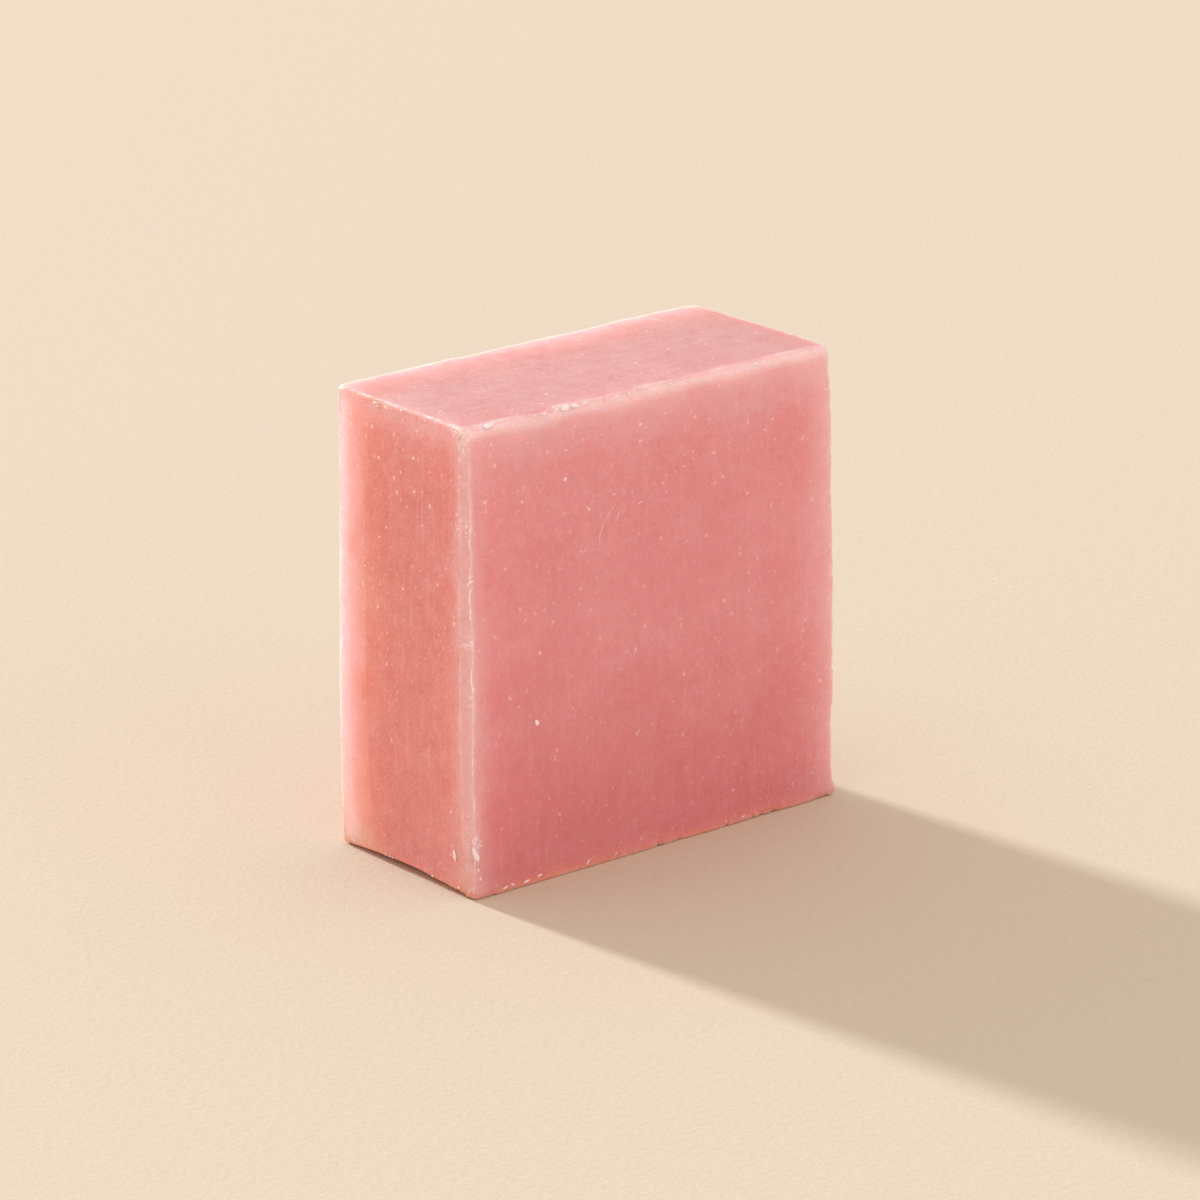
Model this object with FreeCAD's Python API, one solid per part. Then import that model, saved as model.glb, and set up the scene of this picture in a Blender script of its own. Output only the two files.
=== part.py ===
"""A hand-cut bar of shaving soap, modelled as the one solid piece that it is.

The bar is a block trimmed by six knife strokes, one for each side. No stroke is quite square, flat or
straight, and every arris between two strokes is broken by hand: pared to a bevel on the near upright,
worn to a thin soft rim elsewhere, and undercut along the foot of the left side.

The solid is a closed skin of B-spline patches that share their border poles: a face for each stroke,
a strip for each arris and a small patch for each corner. Every pole comes from three sources: where
the strokes run, how wide each arris is broken, and how full its section is.

Millimetres. X runs along the width, Y through the depth and Z up. The bar stands on its flat base,
with the origin in the middle of its footprint.
"""

import FreeCAD, Part
import math
import os
from FreeCAD import Vector

# ---------------------------------------------------------------- driving dimensions
BAR_WIDTH = 60.8  # between the left and right strokes, along X
BAR_DEPTH = 28.0  # between the front and back strokes, along Y
BAR_HEIGHT = 63.0  # from the base to the top stroke, along Z

WAVE_HEIGHT = 0.09  # how far the knife wanders in and out of a stroke
WAVE_LENGTH = 17.0  # from one such wander to the next
RIM_WANDER = 0.14  # share of its own width by which a rim wanders
RIM_WAVE_LENGTH = 13.0

STATION_SPACING = 4.0  # between neighbouring poles along a side

# Each stroke: how far it leans out over its two in-plane axes from end to end, how far it bows out in
# between, and where along the second axis the bow is fullest (0 at its low end, 1 at its high end).
# In-plane axes are Y, Z for left and right, X, Z for front and back, X, Y for base and top.
STROKES = {
    "left": {"lean": (-0.20, -0.62), "bow": 0.62, "fullest": 0.32},
    "right": {"lean": (-0.55, -0.05), "bow": 0.38, "fullest": 0.60},
    "front": {"lean": (0.13, -0.66), "bow": 0.12, "fullest": 0.45},
    "back": {"lean": (0.10, -0.87), "bow": -0.14, "fullest": 0.50},
    "base": {"lean": (0.0, 0.0), "bow": 0.0, "fullest": 0.50},
    "top": {"lean": (-0.16, 0.20), "bow": -0.13, "fullest": 0.80},
}

# Each arris, named by the two strokes that meet there: the width broken off each stroke at the low
# end, the middle and the high end of the arris, and how full the section is (0 is a flat bevel, 1 a
# round that runs smoothly into both sides).
ARRISES = {
    ("left", "front"): {"widths": ((1.1, 1.2, 1.0), (0.8, 0.9, 0.8)), "full": 0.25},
    ("left", "back"): {"widths": ((0.6, 0.6, 0.4), (0.6, 0.6, 0.4)), "full": 0.60},
    ("right", "front"): {"widths": ((0.8, 0.5, 0.5), (0.8, 0.5, 0.5)), "full": 0.60},
    ("right", "back"): {"widths": ((0.8, 0.7, 2.4), (0.8, 0.7, 2.4)), "full": 0.50},
    ("left", "base"): {"widths": ((0.4, 1.25, 0.35), (0.8, 2.20, 0.6)), "full": 0.20},
    ("left", "top"): {"widths": ((0.2, 0.2, 0.2), (0.2, 0.2, 0.2)), "full": 0.50},
    ("right", "base"): {"widths": ((0.7, 0.4, 0.5), (0.7, 0.4, 0.5)), "full": 0.50},
    ("right", "top"): {"widths": ((0.8, 0.5, 0.6), (0.8, 0.5, 0.6)), "full": 0.60},
    ("front", "base"): {"widths": ((0.25, 0.2, 0.5), (0.25, 0.2, 0.5)), "full": 0.50},
    ("front", "top"): {"widths": ((0.8, 0.7, 1.0), (0.9, 0.8, 1.0)), "full": 0.75},
    ("back", "base"): {"widths": ((0.5, 0.5, 0.6), (0.5, 0.5, 0.6)), "full": 0.50},
    ("back", "top"): {"widths": ((0.5, 0.6, 0.6), (0.5, 0.6, 0.6)), "full": 0.70},
}

# ---------------------------------------------------------------- the block's sides
X, Y, Z = 0, 1, 2
SIDES = {  # the axis that each side faces along, and whether it is the low or the high side
    "left": (X, 0),
    "right": (X, 1),
    "front": (Y, 0),
    "back": (Y, 1),
    "base": (Z, 0),
    "top": (Z, 1),
}
SIDE_AT = {place: name for name, place in SIDES.items()}
LOW = (-BAR_WIDTH / 2, -BAR_DEPTH / 2, 0.0)
SIZE = (BAR_WIDTH, BAR_DEPTH, BAR_HEIGHT)
DEGREE = 3


def other_axes(*axes):
    """The axes that are left, in order."""
    return [axis for axis in (X, Y, Z) if axis not in axes]


def wave(distance, length, key):
    """A smooth wander between -1 and 1 whose phase depends on a name."""
    phase = sum(ord(letter) * (place + 1) for place, letter in enumerate(key))
    turn = 2 * math.pi * distance / length
    return 0.6 * math.sin(turn + phase) + 0.4 * math.sin(1.83 * turn + 2.3 * phase)


def bow(share, fullest):
    """A hump that is 0 at both ends and 1 where it is fullest."""
    power = math.log(0.5) / math.log(fullest)
    return math.sin(math.pi * share**power)


def stroke(side, point):
    """The side's own coordinate where the knife passes this point of the side."""
    axis, high = SIDES[side]
    cut = STROKES[side]
    first, second = other_axes(axis)
    shares = [min(max((point[a] - LOW[a]) / SIZE[a], 0.0), 1.0) for a in (first, second)]
    out = sum(lean * (share - 0.5) for lean, share in zip(cut["lean"], shares))
    out += cut["bow"] * bow(shares[1], cut["fullest"])
    if side != "base":
        out += WAVE_HEIGHT * wave(point[first], WAVE_LENGTH, side)
        out += WAVE_HEIGHT * wave(point[second], WAVE_LENGTH, side[::-1])
    return LOW[axis] + high * SIZE[axis] + (out if high else -out)


def meet(sides, along=None, place=0.0):
    """The sharp point where two or three strokes meet; two of them at a place along the third axis."""
    point = [LOW[axis] + SIZE[axis] / 2 for axis in (X, Y, Z)]
    if along is not None:
        point[along] = place
    for _ in range(6):
        for side in sides:
            point[SIDES[side][0]] = stroke(side, point)
    return point


def arris_key(one, two):
    return (one, two) if (one, two) in ARRISES else (two, one)


def sharp_point(one, two, share):
    """The sharp arris between two sides, at a share of its length."""
    (along,) = other_axes(SIDES[one][0], SIDES[two][0])
    ends = [meet((one, two, SIDE_AT[along, high]))[along] for high in (0, 1)]
    return meet((one, two), along, ends[0] + share * (ends[1] - ends[0]))


def broken_width(side, beside, share):
    """How much of a side is broken off beside another, at a share of the arris."""
    key = arris_key(side, beside)
    low, middle, high = ARRISES[key]["widths"][key.index(side)]
    width = low + (high - low) * share + (middle - (low + high) / 2) * bow(share, 0.5)
    (along,) = other_axes(SIDES[side][0], SIDES[beside][0])
    return width * (1 + RIM_WANDER * wave(share * SIZE[along], RIM_WAVE_LENGTH, side + beside))


def rim(side, beside, share):
    """The coordinate, across the arris, of the side's border beside another side."""
    axis, high = SIDES[beside]
    width = broken_width(side, beside, share)
    return sharp_point(side, beside, share)[axis] + (-width if high else width)


# ---------------------------------------------------------------- poles
def knots_for(count):
    """Clamped, evenly spaced knots and their multiplicities for so many poles."""
    spans = count - DEGREE
    knots = [span / spans for span in range(spans + 1)]
    return knots, [DEGREE + 1] + [1] * (spans - 1) + [DEGREE + 1]


def stations(axis):
    """The shares of a side at which its poles lie, so that an even run of poles stays even."""
    knots, repeats = knots_for(max(DEGREE + 1, round(SIZE[axis] / STATION_SPACING)))
    flat = [knot for knot, repeat in zip(knots, repeats) for _ in range(repeat)]
    return [sum(flat[i + 1 : i + 1 + DEGREE]) / DEGREE for i in range(len(flat) - DEGREE - 1)]


def side_poles(side):
    """The grid of poles of one side, within the borders left by its four broken arrises."""
    axis = SIDES[side][0]
    first, second = other_axes(axis)
    grid = []
    for p in stations(first):
        seconds = [rim(side, SIDE_AT[second, high], p) for high in (0, 1)]
        row = []
        for q in stations(second):
            firsts = [rim(side, SIDE_AT[first, high], q) for high in (0, 1)]
            point = [0.0, 0.0, 0.0]
            point[first] = firsts[0] + p * (firsts[1] - firsts[0])
            point[second] = seconds[0] + q * (seconds[1] - seconds[0])
            point[axis] = stroke(side, point)
            row.append(Vector(*point))
        grid.append(row)
    return grid


def border(grids, side, beside):
    """The poles of a side along one of its borders, from the low end to the high end."""
    first, _ = other_axes(SIDES[side][0])
    axis, high = SIDES[beside]
    grid = grids[side]
    return grid[-high] if axis == first else [row[-high] for row in grid]


def section(one, sharp, two, full):
    """Three poles across an arris: flat when full is 0, smooth into both sides when it is 1."""
    middle = (one + two) / 2
    return [one, middle + (sharp - middle) * full, two]


def arris_poles(grids, one, two):
    """The poles of the strip between two sides, with a section at every station."""
    (along,) = other_axes(SIDES[one][0], SIDES[two][0])
    full = ARRISES[one, two]["full"]
    rims = zip(stations(along), border(grids, one, two), border(grids, two, one))
    return [section(a, Vector(*sharp_point(one, two, share)), b, full) for share, a, b in rims]


# ---------------------------------------------------------------- patches
def patch(poles):
    """A face from a grid of poles, cubic along any run of four or more and quadratic across three."""
    runs = []
    for count in (len(poles), len(poles[0])):
        degree = min(DEGREE, count - 1)
        knots, repeats = ([0.0, 1.0], [count] * 2) if count <= DEGREE else knots_for(count)
        runs.append((knots, repeats, degree))
    (knots_u, repeats_u, degree_u), (knots_v, repeats_v, degree_v) = runs
    surface = Part.BSplineSurface()
    surface.buildFromPolesMultsKnots(
        poles, repeats_u, repeats_v, knots_u, knots_v, False, False, degree_u, degree_v
    )
    return surface.toShape()


def corner_patch(strips, sides):
    """A three-sided patch between the ends of the three strips that meet at a corner."""
    ends = {}
    for (one, two), poles in strips.items():
        if one in sides and two in sides:
            (last,) = set(sides) - {one, two}
            ends[one, two] = poles[-SIDES[last][1]]
    one, two, three = sides
    (a, ab, b), (_, ac, c), (_, bc, _) = ends[one, two], ends[one, three], ends[two, three]
    middle = (ab + ac + bc) / 3
    sharp = Vector(*meet(sides))
    full = min(ARRISES[key]["full"] for key in ends)
    return patch([[a, ab, b], [ac, middle + (sharp - middle) * full, bc], [c, c, c]])


def base_face(poles):
    """The base is a true plane, so that it is what the bar rests on."""
    edges = []
    for run in (poles[0], poles[-1], [row[0] for row in poles], [row[-1] for row in poles]):
        curve = Part.BSplineCurve()
        knots, repeats = knots_for(len(run))
        curve.buildFromPolesMultsKnots(run, repeats, knots, False, DEGREE)
        edges.append(curve.toShape())
    return Part.Face(Part.Wire(Part.sortEdges(edges)[0]))


def soap_bar():
    """The whole bar: six sides, twelve strips and eight corners, sewn into one solid."""
    grids = {side: side_poles(side) for side in SIDES}
    strips = {pair: arris_poles(grids, *pair) for pair in ARRISES}
    faces = [patch(grid) for side, grid in grids.items() if side != "base"]
    faces.append(base_face(grids["base"]))
    faces += [patch(poles) for poles in strips.values()]
    for x_side in ("left", "right"):
        for y_side in ("front", "back"):
            for z_side in ("base", "top"):
                faces.append(corner_patch(strips, (x_side, y_side, z_side)))
    shell = Part.makeShell(faces)
    shell.sewShape()
    bar = Part.makeSolid(shell)
    if bar.Volume < 0:
        bar.reverse()
    box = bar.optimalBoundingBox(False, False)
    bar.translate(Vector(-box.Center.x, -box.Center.y, 0))
    return bar


os.makedirs("parts", exist_ok=True)
bar = soap_bar()
bar.exportStep("parts/soap_bar.step")
box = bar.optimalBoundingBox(False, False)
size = f"{box.XLength:.1f} x {box.YLength:.1f} x {box.ZLength:.1f} mm"
print(f"soap_bar: valid {bar.isValid()}, {len(bar.Faces)} faces, {bar.Volume / 1000:.1f} cm3, {size}")
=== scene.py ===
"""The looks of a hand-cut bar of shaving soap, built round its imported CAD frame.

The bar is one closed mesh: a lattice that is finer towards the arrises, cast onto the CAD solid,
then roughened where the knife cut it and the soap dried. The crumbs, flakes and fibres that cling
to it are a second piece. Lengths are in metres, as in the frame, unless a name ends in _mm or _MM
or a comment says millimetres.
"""

import math
import random
from collections import namedtuple

import bmesh
import bpy
import numpy as np
from mathutils import Matrix, Vector, noise
from mathutils.bvhtree import BVHTree


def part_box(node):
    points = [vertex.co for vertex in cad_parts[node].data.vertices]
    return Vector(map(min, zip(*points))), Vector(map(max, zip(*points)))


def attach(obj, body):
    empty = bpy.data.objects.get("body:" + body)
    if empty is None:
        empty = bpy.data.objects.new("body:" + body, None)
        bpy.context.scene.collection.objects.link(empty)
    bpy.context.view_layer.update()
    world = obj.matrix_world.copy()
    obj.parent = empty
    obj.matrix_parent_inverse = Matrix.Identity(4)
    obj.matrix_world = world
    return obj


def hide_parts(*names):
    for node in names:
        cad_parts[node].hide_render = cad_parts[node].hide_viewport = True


MM = 0.001
SEED = 7

# ---------------------------------------------------------------- the mesh
CELL_MM = 1.6  # lattice cells in the middle of a side
REACHES_MM = (7.0, 3.4, 1.8)  # cells nearer than each of these to an arris are halved again
CORE_MM = 3.0  # how far inside the box the lines start that cast the lattice onto the CAD solid
SMOOTH_FROM_MM = 1.6  # the CAD solid's facets are smoothed away further from an arris than this
SMOOTH_PASSES = 12
SMOOTH_SHARE = 0.5  # how far a pass moves a point towards its neighbours' mean
NORMAL_PASSES = 2
SOFT_PASSES = 10  # for the arrises that are rounded off
SOFT_MM = (1.2, 2.2)  # the rounding is whole within the first of an arris, and ends at the second
FIELD_STEP = (17.3, 5.1, 9.7)  # how far apart in the noise the numbered fields lie

# Each side's axis, and whether it lies at the low (0) or the high (1) end of it.
SIDES = {
    "left": (0, 0), "right": (0, 1),
    "front": (1, 0), "back": (1, 1),
    "base": (2, 0), "top": (2, 1),
}

# How each arris has worn, in millimetres: the depth of its chipped stretches and of its ragged
# nicks, how far its line sways, the height of the burr along the two borders of its break, how much
# of the break is filled back out, how soft (0 to 1) it is rounded, how pale (0 to 1) it is and how
# far that reaches, and how clear (0 to 1) are the white line along each of its two borders, partly
# dry white bits and partly painted highlights where the burrs and the break catch the light, and
# the soft painted glow beside them.
Arris = namedtuple("Arris", "chip nick sway burr fill soft pale reach lines")
ARRISES = {
    ("left", "front"): Arris(0.08, 0.08, 0.08, 0.06, 0.00, 0.0, 0.20, 1.4, (0.55, 0.85, 1.0)),
    ("left", "back"): Arris(0.06, 0.08, 0.10, 0.02, 0.00, 0.7, 0.00, 0.8, (0.0, 0.0, 0.0)),
    ("right", "front"): Arris(0.16, 0.24, 0.14, 0.05, 0.00, 0.4, 0.10, 1.0, (0.05, 0.10, 0.0)),
    ("right", "back"): Arris(0.14, 0.18, 0.12, 0.03, 0.00, 0.5, 0.10, 1.0, (0.1, 0.1, 0.0)),
    ("left", "base"): Arris(0.14, 0.22, 0.05, 0.06, 0.00, 0.1, 0.00, 0.7, (0.10, 0.0, 0.0)),
    # its white line is mostly a painted glint of the key light along the break
    ("left", "top"): Arris(0.02, 0.05, 0.00, 0.02, 0.03, 0.0, 0.00, 0.3, (0.0, 0.95, 0.0)),
    ("right", "base"): Arris(0.12, 0.14, 0.05, 0.04, 0.15, 0.2, 0.00, 0.8, (0.10, 0.0, 0.0)),
    ("right", "top"): Arris(0.12, 0.14, 0.12, 0.04, 0.00, 0.5, 0.25, 0.8, (0.2, 0.2, 0.0)),
    ("front", "base"): Arris(0.12, 0.20, 0.05, 0.08, 0.22, 0.1, 0.00, 0.8, (0.10, 0.0, 0.0)),
    ("front", "top"): Arris(0.10, 0.14, 0.10, 0.04, 0.00, 0.4, 0.25, 1.0, (0.0, 0.40, 0.4)),
    ("back", "base"): Arris(0.12, 0.14, 0.05, 0.05, 0.00, 0.2, 0.00, 0.8, (0.10, 0.0, 0.0)),
    ("back", "top"): Arris(0.20, 0.18, 0.22, 0.04, 0.00, 0.8, 0.05, 0.9, (0.0, 0.1, 0.0)),
}

# Colours painted towards an arris, most of them painted light and shade: the crest of the front,
# dried paler and painted with the light that it catches; a painted glow, almost white, of light
# through the edges; a paler pink painted glow; a painted orange glow of light coming through the
# thin edge; painted shade where the soap lies away from the light; painted shade that tones down
# the key light on the back arrises; and a painted deep orange glow where the soap is lit only
# through the bar.
CREST_DRY_AND_LIT = (0.93, 0.77, 0.79)
GLOW_PAINTED_WHITE = (0.86, 0.75, 0.83)
GLOW_PAINTED_PINK = (0.76, 0.59, 0.59)
GLOW_PAINTED_ORANGE = (0.93, 0.29, 0.09)
SHADE_PAINTED_DUSK = (0.56, 0.24, 0.23)
SHADE_PAINTED_BACK = (0.62, 0.42, 0.40)
GLOW_PAINTED_FOOT = (0.90, 0.33, 0.20)

# Where an arris stands out further or less than the cut of its CAD solid: the shares along it, and
# millimetres.
WAVES = {
    ("front", "top"): [
        (0.00, 0.00), (0.05, 0.10), (0.10, 0.34), (0.15, 0.14), (0.21, -0.36), (0.245, -0.20),
        (0.27, 0.42), (0.33, 0.12), (0.385, -0.32), (0.41, 0.10), (0.455, -0.14), (0.50, 0.28),
        (0.57, -0.12), (0.63, 0.04), (0.70, 0.22), (0.77, -0.14), (0.86, 0.26), (0.94, 0.02),
        (1.00, 0.00),
    ],
}

# Each side's colours, most of them painted light and shade: the tint of its soap, which paints the
# light and shade on that side; how much deeper its colour is at the foot, painted shade near the
# floor; how strong its fine grain is, which on the top also paints the shading of its tiny bumps;
# how much warmer its rims are at the foot, warming their painted glow; and, for the arrises round
# it, the colour painted there (mostly painted glow and shade), how much, and within how many
# millimetres. Where two reach the same arris, the first lies over the second.
SIDE_GRAIN_AND_PAINTED_LIGHT = {
    "left": {
        "tint": (0.97, 0.84, 0.71), "foot": 0.0, "grit": 1.8, "warm": 0.30,
        "rims": [
            ("base", GLOW_PAINTED_FOOT, 0.6, 0.60), ("back", SHADE_PAINTED_BACK, 0.9, 0.55), ("back", GLOW_PAINTED_WHITE, 0.97, 5.0),
            ("back", GLOW_PAINTED_ORANGE, 0.62, 7.8),
            ("top", GLOW_PAINTED_PINK, 0.50, 3.6), ("front", GLOW_PAINTED_PINK, 0.55, 2.8),
        ],
    },
    "front": {
        "tint": (1.00, 1.00, 1.00), "foot": 0.32, "grit": 1.0, "warm": 0.0,
        "rims": [
            ("base", GLOW_PAINTED_FOOT, 0.7, 0.40), ("top", CREST_DRY_AND_LIT, 0.80, 1.3), ("top", GLOW_PAINTED_PINK, 0.55, 5.6),
            ("right", GLOW_PAINTED_WHITE, 0.20, 1.2), ("right", GLOW_PAINTED_PINK, 0.48, 4.6), ("left", GLOW_PAINTED_PINK, 0.52, 3.0),
        ],
    },
    "top": {
        "tint": (0.86, 1.04, 0.96), "foot": 0.0, "grit": 1.9, "warm": 0.0,
        "rims": [
            ("back", SHADE_PAINTED_BACK, 0.9, 0.55), ("back", GLOW_PAINTED_WHITE, 0.62, 3.8), ("front", GLOW_PAINTED_WHITE, 0.46, 0.9),
            ("back", GLOW_PAINTED_ORANGE, 0.25, 7.5), ("left", GLOW_PAINTED_PINK, 0.20, 3.0), ("right", SHADE_PAINTED_DUSK, 0.50, 14.0),
        ],
    },
    "right": {
        "tint": (0.95, 0.92, 0.88), "foot": 0.15, "grit": 1.3, "warm": 0.0,
        "rims": [
            ("base", GLOW_PAINTED_FOOT, 0.9, 0.45), ("back", GLOW_PAINTED_WHITE, 0.60, 3.5), ("top", GLOW_PAINTED_PINK, 0.50, 3.8),
            ("front", GLOW_PAINTED_PINK, 0.40, 3.0),
        ],
    },
    "back": {
        "tint": (0.86, 0.94, 0.90), "foot": 0.10, "grit": 1.3, "warm": 0.0,
        "rims": [
            ("base", GLOW_PAINTED_FOOT, 0.9, 0.45), ("left", SHADE_PAINTED_BACK, 0.9, 0.5), ("top", SHADE_PAINTED_BACK, 0.9, 0.5),
            ("left", GLOW_PAINTED_PINK, 0.45, 3.5), ("right", GLOW_PAINTED_PINK, 0.45, 3.5),
            ("top", GLOW_PAINTED_PINK, 0.50, 3.5),
        ],
    },
    "base": {
        "tint": (0.95, 0.80, 0.72), "foot": 0.0, "grit": 1.0, "warm": 0.0,
        "rims": [
            ("left", GLOW_PAINTED_FOOT, 0.7, 1.2), ("right", GLOW_PAINTED_FOOT, 0.7, 1.2), ("front", GLOW_PAINTED_FOOT, 0.7, 1.2),
            ("back", GLOW_PAINTED_FOOT, 0.7, 1.2),
        ],
    },
}
FOOT_MM = 30.0  # how high above the floor the painted shade and the warmer rims reach
FOOT_PAINTED_SHADE = (0.3, 1.0, 1.0)  # how much each of red, green and blue is deepened, as painted shade near the floor
FOOT_WARMER = (0.0, 0.4, 1.0)  # and how much each of them is taken off to warm the rims' painted glow
RIM_PATCHES = 0.30  # how unevenly a rim's colour reaches inwards

# Where dry white bits cling thickly: the side, the shares of it, and millimetres.
BITS = [
    ("left", (0.02, 0.99), 3.2), ("left", (0.02, 0.96), 2.6), ("left", (0.09, 0.995), 2.4),
    ("left", (0.03, 0.89), 2.0), ("left", (0.03, 0.79), 2.4), ("front", (0.006, 0.68), 2.0),
    ("front", (0.006, 0.55), 2.0), ("front", (0.004, 0.43), 1.6), ("front", (0.012, 0.12), 1.8),
    ("top", (0.06, 0.03), 1.4), ("top", (0.26, 0.01), 2.4), ("top", (0.46, 0.02), 1.2),
    ("left", (0.60, 0.992), 1.8), ("left", (0.80, 0.992), 1.6),
]

CLEAR_MM = (3.0, 5.0)  # how far from any arris, and above the floor, the soap is as clear as inside
CLEAR_EDGE = (0.64, 0.20)  # how clear it still is at an arris, and at the floor
LIT_ARRISES = [("left", "back"), ("back", "top")]  # dried through, so that little light passes
LIT_CLEAR = 0.12  # how clear those still are
LIT_MM = (0.3, 1.6)  # from them, where the soap starts to clear and is as clear as elsewhere
SHEEN_LEAST = 0.1  # how much of its shine the soap keeps at the back side
SHEEN_MM = (0.4, 2.5)  # from the back side, where the shine starts to grow and is whole
STROKE_APART_MM = 40.0  # how far apart in the streaks' noise the sides lie

# ---------------------------------------------------------------- the wear, in millimetres
BREAK_TURN = 0.34  # the surface has turned more than this where an arris is broken
BREAK_MM = 2.0  # and lies nearer to the arris than this
BORDER_MM = 2.5  # a point further than this from every arris belongs to none
FAR_MM = 9.0  # stands for no border near
MEAN_MM = 1.5  # over how much of an arris its break's width is evened out
END_MM = 7.0  # the break narrows within this of its ends
END_WIDTH = 0.30  # to this share
WOBBLE_MM = 6.0  # the length of the borders' waves
WOBBLE = 0.75  # and their height, as a share of the break's half width
WOBBLE_MOST_MM = 0.9
LINE_END_MM = (1.6, 2.4)  # from an arris, where its white lines start and end to fade
BURR_MM = 0.16  # how far a burr reaches beside its border
# The noise below which a burr, a chip or a nick is missing, and above which it is whole.
BURR_NOISE = (-0.22, 0.12)
CHIP_NOISE = (-0.05, 0.45)
NICK_NOISE = (0.05, 0.60)
ROUGH_MM = 0.03  # the fine roughness of a worn arris
# From an arris, where each of these starts and ends to fade: what fills its break and the burrs on
# it, the sway of its line, and its waves.
CLOSE_MM = (1.2, 1.9)
SWAY_END_MM = (0.4, 2.4)
WAVE_END_MM = (0.3, 2.4)
FILL_TURN = (0.30, 0.68)  # how far the surface has turned where a break is filled back out

# ---------------------------------------------------------------- the crumbs
# Crumbs and flakes, placed one by one: the side, the shares of the side at which each lies (along
# the side's two axes in X, Y, Z order), its length, breadth and height in millimetres, and its turn
# in the side in degrees.
CRUMBS = [
    ("left", (0.674, 0.990), (0.75, 0.26, 0.20), 0),
    ("left", (0.655, 0.984), (0.30, 0.24, 0.20), 60),
    ("left", (0.690, 0.986), (0.26, 0.22, 0.20), 120),
    ("left", (0.484, 0.993), (0.46, 0.30, 0.26), 20),
    ("left", (0.310, 0.989), (0.30, 0.24, 0.20), 80),
    ("top", (0.080, 0.022), (1.60, 0.60, 0.22), 4),
    ("top", (0.226, 0.012), (0.90, 0.40, 0.34), 4),
    ("top", (0.206, 0.014), (0.60, 0.30, 0.26), 175),
    ("top", (0.280, 0.010), (1.90, 0.70, 0.36), 5),
    ("top", (0.304, 0.010), (1.30, 0.50, 0.28), 170),
    ("top", (0.334, 0.010), (0.90, 0.34, 0.18), 0),
    ("top", (0.420, 0.012), (0.90, 0.26, 0.24), 4),
    ("top", (0.452, 0.014), (0.60, 0.24, 0.20), 176),
    ("top", (0.560, 0.012), (0.60, 0.26, 0.20), 0),
    ("top", (0.790, 0.012), (0.70, 0.30, 0.24), 2),
    ("front", (0.016, 0.098), (2.30, 0.70, 0.30), 112),
    ("front", (0.013, 0.106), (0.90, 0.30, 0.16), 95),
    ("front", (0.022, 0.064), (0.50, 0.26, 0.16), 100),
    ("front", (0.026, 0.044), (0.60, 0.24, 0.14), 80),
    ("left", (0.120, 0.086), (1.50, 0.62, 0.22), 100),
    ("left", (0.300, 0.016), (0.50, 0.28, 0.20), 20),
    ("left", (0.600, 0.012), (0.36, 0.24, 0.18), 30),
    ("front", (0.018, 0.680), (0.80, 0.30, 0.18), 25),
    ("front", (0.009, 0.676), (0.40, 0.24, 0.16), 100),
    ("front", (0.090, 0.010), (0.80, 0.26, 0.16), 20),
    ("front", (0.110, 0.012), (0.60, 0.24, 0.16), 150),
    ("front", (0.147, 0.010), (1.00, 0.30, 0.18), 15),
    ("front", (0.182, 0.013), (0.80, 0.30, 0.18), 10),
    ("front", (0.310, 0.012), (0.90, 0.22, 0.16), 50),
    ("front", (0.386, 0.012), (0.60, 0.22, 0.16), 75),
    ("front", (0.735, 0.010), (0.60, 0.22, 0.16), 20),
    ("front", (0.184, 0.345), (0.80, 0.62, 0.10), 100),
    ("front", (0.273, 0.845), (0.60, 0.40, 0.06), 40),
    ("front", (0.066, 0.839), (0.62, 0.20, 0.10), 55),
    ("front", (0.470, 0.756), (0.90, 0.10, 0.06), 15),
]
# Loose crumbs scattered along an arris: how many to ten millimetres, and the largest, in
# millimetres.
SCATTER = {
    ("left", "front"): (3.0, 0.11),
    ("left", "back"): (1.5, 0.12),
    ("right", "front"): (3.0, 0.16),
    ("right", "back"): (2.0, 0.14),
    ("left", "base"): (3.0, 0.18),
    ("left", "top"): (5.0, 0.12),
    ("right", "base"): (2.0, 0.16),
    ("right", "top"): (3.0, 0.14),
    ("front", "base"): (5.0, 0.22),
    ("front", "top"): (1.2, 0.10),
    ("back", "base"): (2.0, 0.16),
    ("back", "top"): (3.0, 0.18),
}
# Fibres and curled shavings: the side, the radius in millimetres, and the shares of the side that
# each passes.
FIBRES = [
    ("front", 0.085, [(0.402, 0.765), (0.387, 0.753), (0.373, 0.734)]),
    ("front", 0.050, [(0.373, 0.734), (0.361, 0.712), (0.357, 0.690)]),
    ("front", 0.055, [(0.424, 0.757), (0.411, 0.745), (0.402, 0.728)]),
    (
        "left", 0.070,
        [(0.655, 0.998), (0.656, 0.988), (0.668, 0.982), (0.684, 0.982), (0.692, 0.990)],
    ),
    ("left", 0.040, [(0.062, 0.999), (0.050, 0.990), (0.050, 0.982)]),
]

LUMP_ROUGH = ((0.45, 1.3), (0.25, 3.1))  # how high and how close a crumb's broad and fine bumps are
SCATTER_INWARD_MM = 0.8  # how far from its arris a loose crumb lies, as a standard deviation
SCATTER_LEAST_MM = 0.25  # and how high above the floor at least
FIBRE_STEPS = 6  # rings between two points of a fibre's route
FIBRE_CORNERS = 6
FIBRE_TIP = 0.25  # how thick a fibre's ends are, as a share of its middle

# ---------------------------------------------------------------- the camera and the light
VIEW_AZIMUTH = -38.6  # degrees: 0 looks along +Y, and below 0 looks from the left of the front
VIEW_ELEVATION = 18.21
VIEW_ROLL = -0.85
VIEW_DISTANCE = 0.7914
VIEW_LENS = 180.0
VIEW_OFFSET_MM = (-1.81, 0.89)  # how far right of and above the picture's middle the bar's stands

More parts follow.
